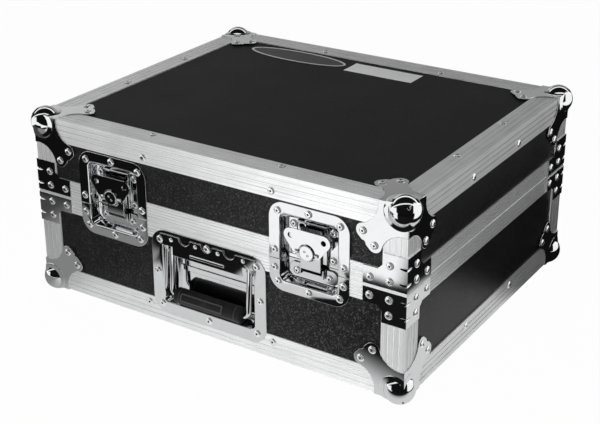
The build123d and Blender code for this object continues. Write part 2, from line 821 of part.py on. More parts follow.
# The bail is one bent rod: down one leg, across inside the grip and up the other.
lean = degrees(atan2(pivot_depth - grip_depth, pivot_height - grip_height))
drop = hypot(pivot_depth - grip_depth, pivot_height - grip_height)
bail_plane = Plane(origin=face("front").origin + Vector(0, pivot_depth, pivot_height),
                   x_dir=(1, 0, 0), z_dir=(0, -1, 0)).rotated((-lean, 0, 0))
with BuildPart() as handle_bail:
    with BuildLine(bail_plane) as route:
        FilletPolyline((-bail_half, bail_radius), (-bail_half, -drop), (bail_half, -drop),
                       (bail_half, bail_radius), radius=bail_bend)
    with BuildSketch(Plane(origin=route.line @ 0, z_dir=route.line % 0)):
        Circle(bail_radius)
    sweep()
    with BuildSketch(Plane(origin=bail_plane.origin, x_dir=(0, 1, 0), z_dir=(1, 0, 0))):
        Circle(bail_pin)
    extrude(amount=ear_out, both=True)
    with BuildSketch(Plane(origin=bail_plane.origin, x_dir=(0, 1, 0), z_dir=(1, 0, 0))):
        Circle(bail_pin + bail_pin_clear)
    extrude(amount=bail_half - bail_radius, both=True, mode=Mode.SUBTRACT)
save(handle_bail, "handle_bail")

with BuildPart() as handle_grip:
    grip_plane = Plane(origin=face("front").origin + Vector(0, grip_depth, grip_height),
                       x_dir=(0, 1, 0), z_dir=(1, 0, 0))
    with BuildSketch(grip_plane):
        Circle(grip_radius)
    extrude(amount=grip_half, both=True)
    fillet(handle_grip.edges().filter_by(GeomType.CIRCLE), grip_round)
    with BuildSketch(grip_plane):
        Circle(bail_radius + running_clearance)
    extrude(amount=grip_half, both=True, mode=Mode.SUBTRACT)
save(handle_grip, "handle_grip")


# Rear hinges: a leaf on the base, a leaf on the lid and one pin through their knuckles.

knuckle_pitch = hinge_width / knuckle_count


def hinge_leaves(lid):
    turn = 1 if lid else -1
    odd = 1 if lid else 0
    with BuildPart() as leaves:
        for x in (-hinge_offset, hinge_offset):
            starts = [x - hinge_width / 2 + n * knuckle_pitch for n in range(knuckle_count)]
            with BuildSketch(face("back")):
                strip(x - hinge_width / 2, seam_height + turn * fit, x + hinge_width / 2,
                      seam_height + turn * hinge_leaf)
                for n, start in enumerate(starts):
                    if n % 2 != odd:
                        strip(start, seam_height, start + knuckle_pitch, seam_height + turn * pin_out,
                              Mode.SUBTRACT)
            extrude(amount=hinge_thick)
            for n, start in enumerate(starts):
                if n % 2 == odd:
                    with BuildSketch(Plane(origin=(-start - knuckle_slack / 2, half_depth + pin_out, seam),
                                           x_dir=(0, 1, 0), z_dir=(-1, 0, 0))):
                        Circle(knuckle_radius)
                    extrude(amount=knuckle_pitch - knuckle_slack)
            with BuildSketch(Plane(origin=(-x, half_depth + pin_out, seam), x_dir=(0, 1, 0),
                                   z_dir=(1, 0, 0))):
                Circle(hinge_pin_radius + running_clearance)
            extrude(amount=hinge_width / 2, both=True, mode=Mode.SUBTRACT)
        punch(face("back", hinge_thick), hinge_rivet_spots(lid), rivet_shank, hinge_thick)
    return leaves


save(hinge_leaves(False), "hinge_base_leaves")
save(hinge_leaves(True), "hinge_lid_leaves")

with BuildPart() as hinge_pins:
    for x in (-hinge_offset, hinge_offset):
        with BuildSketch(Plane(origin=(x, half_depth + pin_out, seam), x_dir=(0, 1, 0), z_dir=(1, 0, 0))):
            Circle(hinge_pin_radius)
        extrude(amount=hinge_width / 2, both=True)
save(hinge_pins, "hinge_pins")


# Foam: pads on the floor and under the top, and a surround in the base and the lid.

inner_width = case_width - 2 * (metal + panel + fit)
inner_depth = case_depth - 2 * (metal + panel + fit)
floor_top = stand + metal + panel + fit
lid_under = roof - metal - panel - fit
bay = (inner_width - 2 * bay_side_wall, inner_depth - 2 * bay_end_wall)
foam_mouth = rim_skirt + fit


def foam_sheet(low, thickness, size):
    with BuildPart() as sheet:
        with BuildSketch(Plane.XY.offset(low)):
            Rectangle(*size)
        extrude(amount=thickness)
    return sheet


def foam_surround(low, high, hollow, pans):
    with BuildPart() as ring:
        with BuildSketch(Plane.XY.offset(low)):
            Rectangle(inner_width, inner_depth)
            Rectangle(*hollow, mode=Mode.SUBTRACT)
        extrude(amount=high - low)
        for centre, size, depth in pans:
            with BuildSketch(face("front")):
                with Locations(centre):
                    Rectangle(size[0] + 2 * (plate + fit), size[1] + 2 * (plate + fit))
            extrude(amount=-(depth + plate + fit), mode=Mode.SUBTRACT)
    return ring


latch_pans = [((x, latch_dish_height), latch_mouth, latch_depth) for x in (-latch_offset, latch_offset)]
handle_pan = [((0, handle_dish_height), handle_mouth, handle_depth)]
lid_bay = (inner_width - 2 * foam_lid_wall, inner_depth - 2 * foam_lid_wall)
save(foam_sheet(floor_top, foam_floor, (bay[0] - 2 * fit, bay[1] - 2 * fit)), "base_floor_foam")
save(foam_surround(floor_top, seam - foam_mouth, bay, latch_pans + handle_pan), "base_surround_foam")
save(foam_sheet(lid_under - foam_lid, foam_lid, (inner_width, inner_depth)), "lid_top_foam")
save(foam_surround(seam + foam_mouth, lid_under - foam_lid - fit, lid_bay, latch_pans),
     "lid_surround_foam")


# Blind rivets: a domed head with the mandrel's hollow, and a shank through the plate under it.

def rivet(shank_length):
    hollow = rivet_rise - rivet_recess
    shoulder = ((rivet_radius + rivet_crown) / 2 + rivet_bulge, (rivet_rim + rivet_rise) / 2 + rivet_bulge)
    with BuildPart() as one:
        with BuildSketch(Plane.XZ):
            with BuildLine():
                Polyline((rivet_crown, rivet_rise), (rivet_bore, rivet_rise), (rivet_bore, hollow),
                         (0, hollow), (0, -shank_length), (rivet_shank, -shank_length),
                         (rivet_shank, 0), (rivet_radius, 0), (rivet_radius, rivet_rim))
                ThreePointArc((rivet_radius, rivet_rim), shoulder, (rivet_crown, rivet_rise))
            make_face()
        revolve(axis=Axis.Z)
    return one.part


def small_rivet(shank_length):
    """A solid rivet with a plain round head, as the handle's bracket has."""
    dome = (strap_rivet_radius ** 2 + strap_rivet_rise ** 2) / (2 * strap_rivet_rise)
    half = strap_rivet_radius / 2
    with BuildPart() as one:
        with BuildSketch(Plane.XZ):
            with BuildLine():
                Polyline((0, strap_rivet_rise), (0, -shank_length), (strap_rivet_shank, -shank_length),
                         (strap_rivet_shank, 0), (strap_rivet_radius, 0))
                ThreePointArc((strap_rivet_radius, 0), (half, strap_rivet_rise - dome + sqrt(dome ** 2 - half ** 2)),
                              (0, strap_rivet_rise))
            make_face()
        revolve(axis=Axis.Z)
    return one.part


def rivets_at(plane, spots, shank_length, kind=rivet):
    head = kind(shank_length)
    return [head.moved(plane.location * Location((x, y, 0))) for x, y in spots]


def case_rivets(lid):
    heads = []
    for side in SIDES:
        height = high_edge_rivets if lid else low_edge_rivets
        heads += rivets_at(face(side), edge_rivet_spots(side, height), metal)
        heads += rivets_at(face(side, plate), corner_rivet_spots(side, lid), plate)
        heads += rivets_at(face(side, brace_plate), brace_rivet_spots(side, lid), brace_plate)
    corners = [(s * (half_width - a), t * (half_depth - b)) for s in (-1, 1) for t in (-1, 1)
               for a, b in ((lobe_near, lobe_far), (lobe_far, lobe_near))]
    end = Plane.XY.offset(roof) if lid else Plane(origin=(0, 0, stand), x_dir=(1, 0, 0), z_dir=(0, 0, -1))
    heads += rivets_at(end, plan_rivets, metal)
    heads += rivets_at(end.offset(plate), corners, plate)
    for x in (-latch_offset, latch_offset):
        heads += rivets_at(face("front", plate), latch_rivet_spots(x, lid), plate)
        foot = plate if lid else keeper_thick
        heads += rivets_at(face("front", foot - latch_depth), latch_foot_spots(x, lid), foot + plate)
    heads += rivets_at(face("back", hinge_thick), hinge_rivet_spots(lid), hinge_thick)
    if not lid:
        heads += rivets_at(face("front", plate), handle_rivets, plate)
        heads += rivets_at(face("front", 2 * plate), strap_rivets, 2 * plate, small_rivet)
    return heads


with BuildPart() as base_rivets:
    add(case_rivets(False))
save(base_rivets, "base_rivets")

with BuildPart() as lid_rivets:
    add(case_rivets(True))
save(lid_rivets, "lid_rivets")
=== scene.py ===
import json
import math

import bmesh
import bpy
from mathutils import Matrix, Vector


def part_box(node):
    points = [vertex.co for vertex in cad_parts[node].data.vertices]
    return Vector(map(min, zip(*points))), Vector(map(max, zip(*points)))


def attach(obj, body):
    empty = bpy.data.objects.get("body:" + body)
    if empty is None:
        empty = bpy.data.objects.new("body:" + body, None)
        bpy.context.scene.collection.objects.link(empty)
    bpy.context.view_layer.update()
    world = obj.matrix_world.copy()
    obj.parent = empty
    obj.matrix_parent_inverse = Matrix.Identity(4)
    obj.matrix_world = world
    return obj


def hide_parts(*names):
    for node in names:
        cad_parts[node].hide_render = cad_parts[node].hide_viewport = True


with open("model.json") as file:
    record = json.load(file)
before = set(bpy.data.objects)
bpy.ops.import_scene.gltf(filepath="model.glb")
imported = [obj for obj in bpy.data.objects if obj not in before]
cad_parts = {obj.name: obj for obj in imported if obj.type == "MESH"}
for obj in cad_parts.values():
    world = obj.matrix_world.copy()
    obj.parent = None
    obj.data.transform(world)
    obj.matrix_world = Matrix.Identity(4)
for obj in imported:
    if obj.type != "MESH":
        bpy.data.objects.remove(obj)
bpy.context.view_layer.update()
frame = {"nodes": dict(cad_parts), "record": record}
nodes = frame["nodes"]
scene = bpy.context.scene
body_of = {node: body for body, group in frame["record"]["behaviour"]["bodies"].items() for node in group}


# Camera: to the right of the case's front and a little above its lid,
# with the small shift that sets the case in the picture.
camera_place = Vector((0.816173, -1.281138, 0.782926))
camera_right = Vector((0.832888, 0.553374, -0.008641))
camera_up = Vector((-0.205785, 0.324147, 0.923353))
camera_data = bpy.data.cameras.new("camera")
camera_data.sensor_width = 36.0
camera_data.lens = 75.654
camera_data.shift_x = 0.03318
camera_data.shift_y = -0.06992
camera = bpy.data.objects.new("camera", camera_data)
scene.collection.objects.link(camera)
turned = Matrix((camera_right, camera_up, camera_right.cross(camera_up))).transposed()
camera.matrix_world = Matrix.Translation(camera_place) @ turned.to_4x4()
scene.camera = camera
scene.view_settings.view_transform = "Standard"


# Studio: a white sweep under the case, a soft key lamp before the right end of the front, and
# weaker ones at the right, above, and over the left of the lid. White cards and black gaps
# about the floor give the plated fittings the reflections that such a studio gives them.
class Wire:
    """One output of a shader node. A sum on wires adds the nodes that work it out."""

    def __init__(self, finish, socket):
        self.finish = finish
        self.socket = socket

    def sum(self, operation, *values):
        return self.finish.node("ShaderNodeMath", {"operation": operation}, dict(enumerate(values)))

    def __add__(self, other):
        return self.sum("ADD", self, other)

    def __radd__(self, other):
        return self.sum("ADD", other, self)

    def __sub__(self, other):
        return self.sum("SUBTRACT", self, other)

    def __rsub__(self, other):
        return self.sum("SUBTRACT", other, self)

    def __mul__(self, other):
        return self.sum("MULTIPLY", self, other)

    def __rmul__(self, other):
        return self.sum("MULTIPLY", other, self)

    def __abs__(self):
        return self.sum("ABSOLUTE", self)


class Finish:
    """A material or a world made of nodes."""

    def __init__(self, owner):
        owner.use_nodes = True
        self.owner = owner
        self.tree = owner.node_tree

    def join(self, value, socket):
        if isinstance(value, Wire):
            self.tree.links.new(value.socket, socket)
        else:
            socket.default_value = value

    def node(self, kind, settings=None, values=None, out=0):
        """Adds a node: its settings first, then the values or wires of its sockets."""
        made = self.tree.nodes.new(kind)
        for name, value in (settings or {}).items():
            setattr(made, name, value)
        for name, value in (values or {}).items():
            self.join(value, made.inputs[name])
        return Wire(self, made.outputs[out])

    def band(self, wire, low, high):
        """0 below low, 1 above high, smooth between."""
        return self.node("ShaderNodeMapRange", {"interpolation_type": "SMOOTHSTEP"},
                         {"Value": wire, "From Min": low, "From Max": high})

    def fade(self, wire, low, high):
        """1 below low, 0 above high, smooth between."""
        return 1.0 - self.band(wire, low, high)

    def blend(self, factor, first, second):
        """A colour between two colours, each a wire or three numbers."""
        made = self.node("ShaderNodeMix", {"data_type": "RGBA"}, {0: factor}, 2)
        for at, colour in ((6, first), (7, second)):
            self.join(colour if isinstance(colour, Wire) else (*colour, 1.0), made.socket.node.inputs[at])
        return made

    def surface(self, name, value):
        """Puts a wire into a socket of the usual shader."""
        self.join(value, self.shader.inputs[name])

    def vector(self, operation, *values, out=0):
        """Vector maths on wires and on groups of three numbers."""
        return self.node("ShaderNodeVectorMath", {"operation": operation}, dict(enumerate(values)), out)

    def place(self):
        """Where a point of the piece is, in metres."""
        return self.node("ShaderNodeTexCoord", out=3)

    def axes(self, vector):
        return [self.node("ShaderNodeSeparateXYZ", values={0: vector}, out=n) for n in range(3)]

    def clouds(self, where, scale, detail, roughness=0.5):
        """Soft noise of 0 to 1, scale times a metre."""
        return self.node("ShaderNodeTexNoise", values={"Vector": where, "Scale": scale, "Detail": detail,
                                                       "Roughness": roughness})


def bare(owner):
    """A material or world with no nodes yet."""
    made = Finish(owner)
    made.tree.nodes.clear()
    return made


def grey(value):
    return (value, value, value, 1.0)


# Where a mirror ball at the case's near upper corner shows a direction of the studio: its
# place across and up the ball's face, 1 at the rim. The softboxes are set out on that face.
ball_facing = (0.4220, -0.8070, 0.4120)
ball_across = (0.8789, 0.4759, 0.0323)
ball_up = (-0.2222, 0.3486, 0.9106)


def on_ball(finish, direction):
    bisector = finish.vector("NORMALIZE", finish.vector("ADD", direction, ball_facing))
    return [finish.vector("DOT_PRODUCT", bisector, axis, out=1) for axis in (ball_across, ball_up)]


# Strengths of the studio's parts, where 1 shows as full white, and a few of its measures.
dark_studio = 0.006
back_light = 0.34
back_light_left = 0.26
box_light = 1.1
fill_light = 0.30
fill_shaded = 0.25
bar_edge = (0.025, 0.045)
far_bar_radius = 0.80
dark_floor = 0.004
card_light = 1.12
gap_light = 0.74
table_left = 0.26
table_right = 0.46
table_far_left = 0.20
floor_white = 0.42
floor_size = 12.0

world = bpy.data.worlds.new("studio")
scene.world = world
sky = bare(world)
direction = sky.node("ShaderNodeTexCoord", out=0)
x, y, z = sky.axes(direction)
across, up = on_ball(sky, direction)
low_back = sky.fade(z, 0.34, 0.55) * sky.band(y, -0.25, 0.15) * sky.band(up, 0.62, 0.72)
left_box = sky.fade(across, -0.54, -0.48) * sky.fade(up, 0.12, 0.20)
right_box = sky.band(across, 0.43, 0.48) * sky.fade(across, 0.84, 0.90) * sky.fade(up, 0.40, 0.46)
near_bar = abs(up + 0.36 * across * across - 0.375)
near_bar = sky.fade(near_bar, *bar_edge) * sky.fade(across, 0.45, 0.50) * sky.band(across, -0.80, -0.75)
from_middle = up.sum("SQRT", across * across + up * up)
far_bar = sky.fade(abs(from_middle - far_bar_radius), *bar_edge)
far_bar = far_bar * sky.band(up, 0.30, 0.42) * sky.band(across, -0.75, -0.65)
boxes = left_box + right_box + near_bar + far_bar
behind = back_light + back_light_left * sky.band(-1.0 * x, 0.48, 0.68)
reflected = dark_studio + behind * low_back + box_light * boxes
seen = sky.node("ShaderNodeLightPath", out=0)
glossy = sky.node("ShaderNodeLightPath", out=3)
ambient = fill_light - fill_shaded * sky.band(x + 0.5 * y, 0.05, 0.55)
strength = seen * 1.0 + (1.0 - seen) * (glossy * reflected + (1.0 - glossy) * ambient)
background = sky.node("ShaderNodeBackground", values={"Color": grey(1.0), "Strength": strength})
output = sky.tree.nodes.new("ShaderNodeOutputWorld")
sky.join(background, output.inputs["Surface"])

# The floor as the plated faces see it: a pale table top round the case, a dark gap before its
# front edge with one break in it, and white cards beyond, which stop short on both sides.
bpy.ops.object.select_all(action="DESELECT")
bpy.ops.mesh.primitive_plane_add(size=floor_size, location=(0, 0, 0))
floor = bpy.context.object
floor.name = "floor"
sweep = bare(bpy.data.materials.new("floor_white"))
x, y, z = sweep.axes(sweep.place())
pale_right = sweep.band(x + 0.4 * (y + 0.386), -0.22, -0.14)
near_edge = y - 0.06 * sweep.band(x, -0.30, -0.22) - 0.03 * sweep.band(x, -0.215, -0.195)
table = sweep.band(near_edge, -0.46, -0.435) * sweep.fade(x, 0.386, 0.396) * sweep.fade(y, 0.05, 0.13)
corner_shade = sweep.band(x, 0.04, 0.10) * sweep.fade(y - 0.3 * x, -0.365, -0.305)
table = table * (1.0 - corner_shade)
table_light = table_left + table_right * pale_right - table_far_left * sweep.fade(x, -0.45, -0.38)
gap_break = sweep.band(x, -0.085, -0.065) * sweep.fade(x, 0.03, 0.05) * sweep.band(y, -0.60, -0.50)
card_right = sweep.fade(x - 0.41 * y, 0.30, 0.34)
card = sweep.fade(y, -0.49, -0.465) * sweep.band(x, -0.27, -0.24)
far_left = 1.0 - sweep.fade(-1.0 * x, 0.70, 0.76) * sweep.fade(-1.0 * y, 0.70, 0.74)
far_left = far_left * sweep.fade(y, -0.10, 0.10)
front_card = card.sum("MAXIMUM", card, far_left) * card_right
right_card = sweep.band(x, 0.57, 0.63) * sweep.band(y, -0.26, -0.20)
cards = dark_floor + table * table_light + gap_light * gap_break * (1.0 - table) * (1.0 - card)
cards = cards + card_light * front_card + card_light * right_card
seen = sweep.node("ShaderNodeLightPath", out=0)
glossy = sweep.node("ShaderNodeLightPath", out=3)
shown = seen + (1.0 - seen) * cards
lit = sweep.node("ShaderNodeBsdfDiffuse", values={"Color": grey(floor_white)})
shine = sweep.node("ShaderNodeEmission", values={"Color": grey(1.0), "Strength": shown})
floor_mix = sweep.node("ShaderNodeMixShader", values={0: seen * 0.98 + glossy * 0.99, 1: lit, 2: shine})
output = sweep.tree.nodes.new("ShaderNodeOutputMaterial")
sweep.join(floor_mix, output.inputs["Surface"])
floor.data.materials.append(sweep.owner)


def lamp(name, place, aim, size, power, spread):
    """A soft lamp with a grid that keeps its light within an angle, turned to face a point.
    The plated faces mirror the cards and the boxes in its place."""
    data = bpy.data.lights.new(name, "AREA")
    data.shape = "RECTANGLE"
    data.size, data.size_y = size
    data.energy = power
    data.spread = math.radians(spread)
    made = bpy.data.objects.new(name, data)
    scene.collection.objects.link(made)
    made.location = place
    made.rotation_euler = (Vector(aim) - Vector(place)).to_track_quat("-Z", "Y").to_euler()
    made.visible_glossy = False
    made.visible_camera = False


lamp("key_lamp", (0.30, -0.95, 0.34), (0.23, -0.2, 0.13), (0.5, 0.5), 3.5, 108)
lamp("side_lamp", (0.75, -0.62, 0.20), (0.265, -0.20, 0.11), (0.3, 0.3), 0.48, 80)
lamp("over_lamp", (-0.3, -0.8, 2.3), (0, 0, 0.12), (0.8, 0.8), 3.0, 170)
lamp("top_lamp", (-0.55, 0.1, 1.3), (-0.30, -0.2, 0.235), (0.4, 0.4), 0.6, 60)


# Panels: nine-millimetre plywood faced with a black laminate, embossed with a fine pebble whose
# tips are painted paler as a speckled painted highlight. The panels slide into the edging and are riveted
# there.
laminate_black = (0.0035, 0.0035, 0.0039)
laminate_speck_highlight = (0.062, 0.062, 0.063)
pebble_pitch = 0.0021
pebble_depth = 0.00012
speck_scale = 760.0
speck_tips = (0.54, 0.66)


def standard(name, metallic=0.0, roughness=0.5, specular=0.5):
    """A surface with the usual shader, whose steady values are set on its own sockets."""
    made = Finish(bpy.data.materials.new(name))
    made.shader = made.tree.nodes["Principled BSDF"]
    made.shader.inputs["Metallic"].default_value = metallic
    made.shader.inputs["Roughness"].default_value = roughness
    made.shader.inputs["Specular IOR Level"].default_value = specular
    return made


def relief(finish, height, depth, strength=1.0):
    """Raises the surface by a height wire of 0 to 1, depth metres at most."""
    normal = finish.node("ShaderNodeBump",
                         values={"Height": height, "Distance": depth, "Strength": strength})
    finish.surface("Normal", normal)


def dress(finish, *names):
    """Gives CAD nodes a material."""
    for name in names:
        mesh = nodes[name].data
        mesh.materials.clear()
        mesh.materials.append(finish.owner)


def laminate(name, specular, rough, light):
    """Black laminate whose pebbles' tips get a painted highlight, paler by a share of 0 to 1."""
    made = standard(name, specular=specular)
    where = made.place()
    cells = made.node("ShaderNodeTexVoronoi", {"feature": "SMOOTH_F1"},
                      {"Vector": where, "Scale": 1 / pebble_pitch, "Smoothness": 0.6})
    soft = made.clouds(where, speck_scale, 3.0, 0.6)
    broad = made.clouds(where, 9.0, 4.0)
    pebble = (1.0 - cells) * 0.4 + soft * 0.7
    tips = made.band(soft, *speck_tips)
    # Painted highlight: the pebbles' tips are coloured paler, as if they caught the light.
    made.surface("Base Color", made.blend(tips * light + 0.05 * broad, laminate_black, laminate_speck_highlight))
    made.surface("Roughness", rough + 0.14 * broad - 0.14 * tips)
    relief(made, pebble, pebble_depth)
    return made


# The walls get the painted highlight at full share and the top only faintly: lit walls, a shaded top.
wall_laminate = laminate("wall_laminate", 0.15, 0.26, 1.0)
top_laminate = laminate("top_laminate", 0.18, 0.50, 0.10)
walls = [f"{half}_{side}_panel" for half in ("base", "lid") for side in ("front", "back", "left", "right")]
dress(wall_laminate, *walls, "base_floor_panel")
dress(top_laminate, "lid_top_panel")


# Edging: satin anodised aluminium extrusions with fine grooves along each flange, cut with
# a mitre and riveted through the panels. The grooves are painted darker: painted shade in the recess, and
# grime.
aluminium_pale = (0.88, 0.885, 0.89)
aluminium_dull = (0.58, 0.585, 0.59)
# The grooves' colour: painted shade in the recess, and grime.
groove_shade_and_grime = (0.44, 0.44, 0.445)
# The uprights' colours are a darker copy of the edging's: painted shade.
upright_pale_in_shade = (0.80, 0.805, 0.81)
upright_dull_in_shade = (0.53, 0.535, 0.54)
groove_top = (0.00012, 0.0003)
groove_foot = (0.0007, 0.0010)
flat_depth = (0.0012, 0.0008)
line_scale = 900.0
line_scale_along = 5.0
satin_metal = 0.62
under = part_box("base_edge_front")[0]
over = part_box("lid_edge_front")[1]
half_width, half_depth, stand, roof = over.x, -under.y, under.z, over.z


def extruded(name, along, pale=aluminium_pale, dulled=aluminium_dull):
    """Satin aluminium with die lines along one axis, numbered 0 to 2."""
    made = standard(name)
    stretch = [line_scale, line_scale, line_scale]
    stretch[along] = line_scale_along
    where = made.place()
    x, y, z = made.axes(where)
    sunk = half_width - abs(x)
    for gap in (half_depth - abs(y), roof - z, z - stand):
        sunk = sunk.sum("MINIMUM", sunk, gap)
    on_top = made.band(z, roof - flat_depth[0], roof - flat_depth[1])
    on_foot = made.band(-1.0 * z, -stand - flat_depth[0], -stand - flat_depth[1])
    flat_on = on_top + on_foot
    # Painted shade and grime: the grooves' floors are coloured darker, less metallic and rougher, less so
    # on the top and foot faces.
    shaded_groove = made.band(sunk, *groove_top) * made.fade(sunk, *groove_foot) * (1.0 - 0.6 * flat_on)
    drawn = made.vector("MULTIPLY", where, stretch)
    lines = made.clouds(drawn, 1.0, 3.0, 0.7)
    dull = made.clouds(where, 28.0, 5.0)
    fine = made.clouds(where, 1400.0, 2.0)
    streaks = made.band(lines, 0.42, 0.72) * 0.7 + 0.25 * made.band(dull, 0.40, 0.75)
    made.surface("Base Color", made.blend(shaded_groove, made.blend(streaks, pale, dulled), groove_shade_and_grime))
    made.surface("Metallic", satin_metal * (1.0 - shaded_groove))
    made.surface("Roughness", 0.26 + 0.12 * lines + 0.08 * dull + 0.3 * shaded_groove)
    relief(made, lines * 0.8 + fine * 0.2, 0.00003, 0.8)
    return made


along_x = extruded("aluminium_along_x", 0)
along_y = extruded("aluminium_along_y", 1)
# The uprights take the darker colours: painted shade.
along_z = extruded("aluminium_along_z", 2, upright_pale_in_shade, upright_dull_in_shade)
for half in ("base", "lid"):
    for kind in ("edge", "rim"):
        dress(along_x, f"{half}_{kind}_front", f"{half}_{kind}_back")
        dress(along_y, f"{half}_{kind}_left", f"{half}_{kind}_right")
    dress(along_z, f"{half}_corner_uprights")


# Ball corners and braces: pressed from steel sheet and chromed. The press rolls their edges
# over, which catch the light, and leaves the bright faces very slightly wavy.
chrome_bright = (0.80, 0.805, 0.815)
chrome_soft = (0.66, 0.665, 0.675)
rolled_edge = 0.00055
sharp_angle = math.radians(28)
smooth_angle = math.radians(40)
flat_angle = math.radians(0.4)
mouth_round = 0.0013
pan_wall = 0.003
bench = 1000.0
weld = 0.000002
ball_place = (half_width - 0.0095, half_depth - 0.0095, 0.0095)
collar_section = ((0.0143, 0.0118), (0.0158, 0.01150), (0.0178, 0.01125), (0.0196, 0.01095),
                  (0.0207, 0.01060), (0.0213, 0.0101), (0.0215, 0.0094), (0.0143, 0.0094))
collar_clip = 0.0086


def plated(name, wave, rough=0.05):
    """Chromed steel, a little smudged, with faces that wave by a depth in metres."""
    made = standard(name, metallic=1.0)
    where = made.place()
    swell = made.clouds(where, 22.0, 1.0)
    smudge = made.clouds(where, 60.0, 6.0, 0.6)
    specks = made.clouds(where, 900.0, 2.0)
    film = made.band(smudge, 0.45, 0.80)
    made.surface("Base Color", made.blend(film * 0.3, chrome_bright, chrome_soft))
    made.surface("Roughness", rough + 0.03 * film + 0.02 * made.band(specks, 0.6, 0.8))
    relief(made, swell + 0.002 * specks, wave)
    return made


def solo(made):
    """Selects one object alone."""
    bpy.ops.object.select_all(action="DESELECT")
    bpy.context.view_layer.objects.active = made
    made.select_set(True)


def edit_all():
    """Goes into edit mode with everything selected."""
    bpy.ops.object.mode_set(mode="EDIT")
    bpy.ops.mesh.select_all(action="SELECT")


def settle(made, name, body, finish):
    """Puts a finished piece's place into its mesh, names it, dresses it and sets it on its body."""
    made.name = name
    made.data.name = name
    made.data.transform(made.matrix_world)
    made.matrix_world = Matrix.Identity(4)
    made.data.materials.clear()
    made.data.materials.append(finish.owner)
    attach(made, body)


def select_mouth(made):
    """Selects the edges where a dish's flange turns into its pan, in edit mode."""
    work = bmesh.from_edit_mesh(made.data)
    spots = [corner.co for corner in work.verts]
    middle = Vector([(min(c[n] for c in spots) + max(c[n] for c in spots)) / 2 for n in range(3)])
    for edge in work.edges:
        if len(edge.link_faces) != 2:
            continue
        flange, wall = sorted(edge.link_faces, key=lambda side: side.normal.y)
        depths = [corner.co.y for corner in wall.verts]
        inward = wall.normal.dot(middle - edge.verts[0].co)
        deep = max(depths) - min(depths) > pan_wall * bench
        if flange.normal.y < -0.95 and abs(wall.normal.y) < 0.6 and inward > 0 and deep:
            edge.select_set(True)
    bmesh.update_edit_mesh(made.data)


def rolled(node, finish, roll=rolled_edge, pan=False, merge=True):
    """A node's pressed piece with its sharp edges rolled over, and the mouth of its pan too.
    It is worked on at bench times its size, where Blender's own tolerances are fine enough."""
    made = bpy.data.objects.new(node, nodes[node].data.copy())
    made.data.transform(Matrix.Scale(bench, 4))
    scene.collection.objects.link(made)
    solo(made)
    if made.data.has_custom_normals:
        bpy.ops.mesh.customdata_custom_splitnormals_clear()
    edit_all()
    bpy.ops.mesh.remove_doubles(threshold=weld * bench)
    if merge:
        bpy.ops.mesh.dissolve_limited(angle_limit=flat_angle)
    if pan:
        bpy.ops.mesh.select_mode(type="EDGE")
        bpy.ops.mesh.select_all(action="DESELECT")
        select_mouth(made)
        bpy.ops.mesh.bevel(offset=mouth_round * bench, segments=4, affect="EDGES", clamp_overlap=False)
        bpy.ops.mesh.select_mode(type="VERT")
    bpy.ops.object.mode_set(mode="OBJECT")
    bpy.ops.object.shade_smooth()
    edge = made.modifiers.new("roll", "BEVEL")
    edge.width = roll * bench
    edge.segments = 2
    edge.limit_method = "ANGLE"
    edge.angle_limit = sharp_angle
    edge.use_clamp_overlap = False
    edge.miter_outer = "MITER_ARC"
    edge.harden_normals = True
    bpy.ops.object.modifier_apply(modifier="roll")
    made.data.transform(Matrix.Scale(1 / bench, 4))
    settle(made, f"{node}_rolled", body_of[node], finish)
    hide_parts(node)


def ball_collar():
    """The flared foot of a ball on one leg, for a ball at the origin and a leg that faces up."""
    bpy.ops.object.select_all(action="DESELECT")
    bpy.ops.mesh.primitive_circle_add(vertices=len(collar_section), radius=ball_place[2],
                                      fill_type="NOTHING")
    made = bpy.context.object
    for corner, (out, up) in zip(made.data.vertices, collar_section):
        corner.co = (out, 0.0, up)
    edit_all()
    bpy.ops.mesh.spin(steps=48, angle=math.tau, center=(0, 0, 0), axis=(0, 0, 1))
    bpy.ops.mesh.select_all(action="SELECT")
    bpy.ops.mesh.remove_doubles(threshold=0.00001)
    for mitre, past in (((1, 0, -1), 0.0), ((0, 1, -1), 0.0), ((1, 1, 0), collar_clip)):
        bpy.ops.mesh.select_all(action="SELECT")
        bpy.ops.mesh.bisect(plane_co=(past, past, 0), plane_no=mitre, use_fill=True, clear_outer=True)
    bpy.ops.object.mode_set(mode="OBJECT")
    return made


def gathered(parts, name, body, finish):
    """One piece made of several meshes, its faces turned outwards."""
    solo(parts[0])
    for part in parts:
        part.select_set(True)
    bpy.ops.object.join()
    made = bpy.context.object
    edit_all()
    bpy.ops.mesh.normals_make_consistent(inside=False)
    bpy.ops.object.mode_set(mode="OBJECT")
    bpy.ops.object.shade_smooth_by_angle(angle=smooth_angle)
    settle(made, name, body, finish)


def copied(made, turned):
    """A copy with its own mesh, moved by a matrix."""
    other = bpy.data.objects.new(made.name, made.data.copy())
    scene.collection.objects.link(other)
    other.data.transform(turned)
    return other


pressed = plated("pressed_chrome", 0.00009)
turned_chrome = plated("turned_chrome", 0.00005, 0.04)
collar = ball_collar()
for half, end in (("base", -1), ("lid", 1)):
    rolled(f"{half}_ball_corners", turned_chrome)
    dress(pressed, f"{half}_corner_braces")
    level = roof - ball_place[2] if half == "lid" else stand + ball_place[2]
    feet = []
    for right in (-1, 1):
        for back in (-1, 1):
            out_x, out_y, out_z = Vector((right, 0, 0)), Vector((0, back, 0)), Vector((0, 0, end))
            for legs in ((out_x, out_z, out_y), (out_y, out_z, out_x), (out_x, out_y, out_z)):
                turned = Matrix(legs).transposed().to_4x4()
                turned.translation = (right * ball_place[0], back * ball_place[1], level)
                feet.append(copied(collar, turned))
    gathered(feet, f"{half}_ball_collars", half, turned_chrome)
bpy.data.objects.remove(collar)


